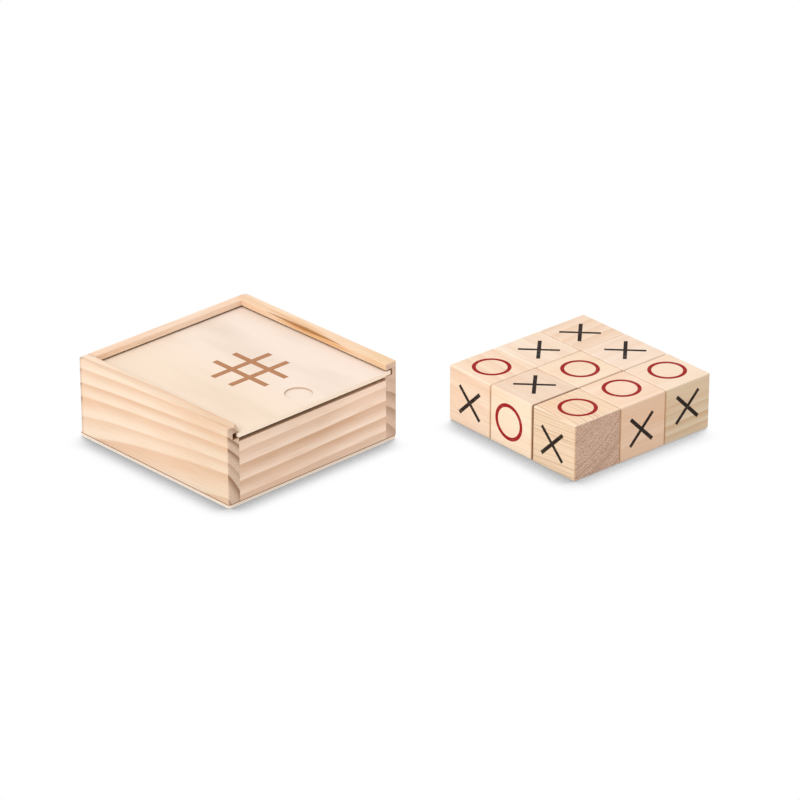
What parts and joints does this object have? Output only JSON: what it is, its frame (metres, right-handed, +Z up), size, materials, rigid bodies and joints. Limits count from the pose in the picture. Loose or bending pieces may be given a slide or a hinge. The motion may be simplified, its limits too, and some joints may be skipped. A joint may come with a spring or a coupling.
{
  "type": "tic-tac-toe block set in a sliding-lid box",
  "caption": "Square wooden box with a lid that slides in grooves, and loose wooden cubes marked X and O that lie three by three beside it as the board.",
  "frame": {"origin": "centre of the box's underside, on the surface that the set stands on", "axes": "+X along the box's front wall towards the loose blocks, +Y from the front wall to the back wall, +Z up"},
  "size_m": [0.2334, 0.2085, 0.042],
  "materials": {
    "base_plywood": "sanded plywood, unfinished",
    "pine": "sanded solid pine, unfinished",
    "lid_plywood": "sanded pale plywood, unfinished",
    "block_wood": "sanded solid wood, unfinished, with screen-printed marks"
  },
  "bodies": {
    "box": {"base_panel": "base_plywood", "left_side_wall": "pine", "right_side_wall": "pine", "front_wall": "pine", "back_wall": "pine"},
    "lid": {"sliding_lid": "lid_plywood"},
    "loose_front_left": {"block_front_left": "block_wood"},
    "loose_front_centre": {"block_front_centre": "block_wood"},
    "loose_front_right": {"block_front_right": "block_wood"},
    "loose_middle_left": {"block_middle_left": "block_wood"},
    "loose_middle_centre": {"block_middle_centre": "block_wood"},
    "loose_middle_right": {"block_middle_right": "block_wood"},
    "loose_back_left": {"block_back_left": "block_wood"},
    "loose_back_centre": {"block_back_centre": "block_wood"},
    "loose_back_right": {"block_back_right": "block_wood"}
  },
  "joints": [
    {"name": "lid_slide", "type": "slide", "parent": "box", "child": "lid", "axis": [0, -1, 0], "range_m": [0, 0.11]},
    {"name": "lift_front_left", "type": "slide", "parent": "box", "child": "loose_front_left", "axis": [0, 0, 1], "range_m": [0, 0.06]},
    {"name": "lift_front_centre", "type": "slide", "parent": "box", "child": "loose_front_centre", "axis": [0, 0, 1], "range_m": [0, 0.06]},
    {"name": "lift_front_right", "type": "slide", "parent": "box", "child": "loose_front_right", "axis": [0, 0, 1], "range_m": [0, 0.06]},
    {"name": "lift_middle_left", "type": "slide", "parent": "box", "child": "loose_middle_left", "axis": [0, 0, 1], "range_m": [0, 0.06]},
    {"name": "lift_middle_centre", "type": "slide", "parent": "box", "child": "loose_middle_centre", "axis": [0, 0, 1], "range_m": [0, 0.06]},
    {"name": "lift_middle_right", "type": "slide", "parent": "box", "child": "loose_middle_right", "axis": [0, 0, 1], "range_m": [0, 0.06]},
    {"name": "lift_back_left", "type": "slide", "parent": "box", "child": "loose_back_left", "axis": [0, 0, 1], "range_m": [0, 0.06]},
    {"name": "lift_back_centre", "type": "slide", "parent": "box", "child": "loose_back_centre", "axis": [0, 0, 1], "range_m": [0, 0.06]},
    {"name": "lift_back_right", "type": "slide", "parent": "box", "child": "loose_back_right", "axis": [0, 0, 1], "range_m": [0, 0.06]}
  ]
}
